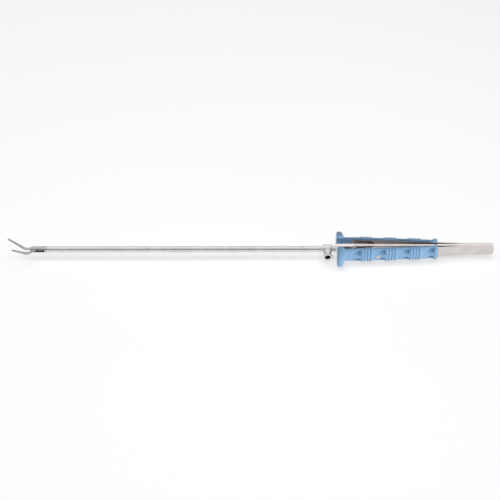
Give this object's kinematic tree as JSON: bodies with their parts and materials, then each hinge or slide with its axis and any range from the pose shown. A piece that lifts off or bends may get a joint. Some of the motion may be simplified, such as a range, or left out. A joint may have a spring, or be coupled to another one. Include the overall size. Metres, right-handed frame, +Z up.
{
  "type": "laparoscopic grasper",
  "caption": "Slim shaft grasper with an in-line squeeze handle: sprung steel arms with ribbed blue grips, a side flush port and bent, toothed jaws.",
  "frame": {"origin": "on the shaft's axis, in the front face of the flush body", "axes": "+X along the shaft from the jaws towards the handle's tail, Y the way the arms and jaws open with the flush port on -Y, +Z up as the instrument lies, the way the jaws are bent"},
  "size_m": [0.3867, 0.0324, 0.0203],
  "materials": {
    "shaft_steel": "polished tube",
    "bright_steel": "polished",
    "bar_steel": "ground, bright edges",
    "spring_steel": "fine satin",
    "jaw_steel": "satin",
    "inner_steel": "matt, darkened",
    "grip_plastic": "satin moulded blue",
    "seal_rubber": "matt"
  },
  "bodies": {
    "shaft": {"shaft_tube": "shaft_steel", "flush_body": "bright_steel", "flush_port": "bright_steel", "neck": "bright_steel", "rod_seal": "seal_rubber", "centre_bar": "bar_steel", "tail_rivets": "spring_steel", "far_spring_tail": "spring_steel", "near_spring_tail": "spring_steel", "fixed_jaw": "jaw_steel", "jaw_pivot_pin": "jaw_steel"},
    "rod": {"push_rod": "inner_steel", "rod_fork": "inner_steel", "slider": "inner_steel", "slider_pin": "inner_steel"},
    "jaw": {"moving_jaw": "jaw_steel", "jaw_drive_pin": "inner_steel"},
    "far_arm": {"far_arm_spring": "spring_steel", "far_grip": "grip_plastic", "far_grip_screw": "bright_steel", "far_lug": "inner_steel", "far_lug_pin": "inner_steel"},
    "far_links": {"far_link": "inner_steel"},
    "near_arm": {"near_arm_spring": "spring_steel", "near_grip": "grip_plastic", "near_grip_screw": "bright_steel", "near_lug": "inner_steel", "near_lug_pin": "inner_steel"},
    "near_links": {"near_link": "inner_steel"}
  },
  "joints": [
    {"name": "near_squeeze", "type": "hinge", "parent": "shaft", "child": "near_arm", "pos_m": [0.1124, -0.0016, 0], "axis": [0, 0, -1], "range_deg": [0, 2.2], "stiffness_Nm_per_rad": 6},
    {"name": "near_link_swing", "type": "hinge", "parent": "near_arm", "child": "near_links", "pos_m": [0.038, -0.0039, 0], "axis": [0, 0, 1], "range_deg": [0, 26.67]},
    {"name": "far_squeeze", "type": "hinge", "parent": "shaft", "child": "far_arm", "pos_m": [0.1124, 0.0016, 0], "axis": [0, 0, 1], "range_deg": [0, 2.2], "stiffness_Nm_per_rad": 6},
    {"name": "far_link_swing", "type": "hinge", "parent": "far_arm", "child": "far_links", "pos_m": [0.038, 0.0039, 0], "axis": [0, 0, -1], "range_deg": [0, 26.67]},
    {"name": "rod_slide", "type": "slide", "parent": "shaft", "child": "rod", "axis": [-1, 0, 0], "range_m": [0, 0.00111]},
    {"name": "jaw_hinge", "type": "hinge", "parent": "shaft", "child": "jaw", "pos_m": [-0.23, 0.0007, 0], "axis": [0, 0, -1], "range_deg": [0, 38]}
  ],
  "couplings": [
    {"joint": "far_squeeze", "follows": "near_squeeze", "ratio": 1},
    {"joint": "near_link_swing", "follows": "near_squeeze", "ratio": 12.125},
    {"joint": "far_link_swing", "follows": "near_squeeze", "ratio": 12.125},
    {"joint": "rod_slide", "follows": "near_squeeze", "m_per_rad": 0.028787},
    {"joint": "jaw_hinge", "follows": "near_squeeze", "ratio": 17.273}
  ]
}
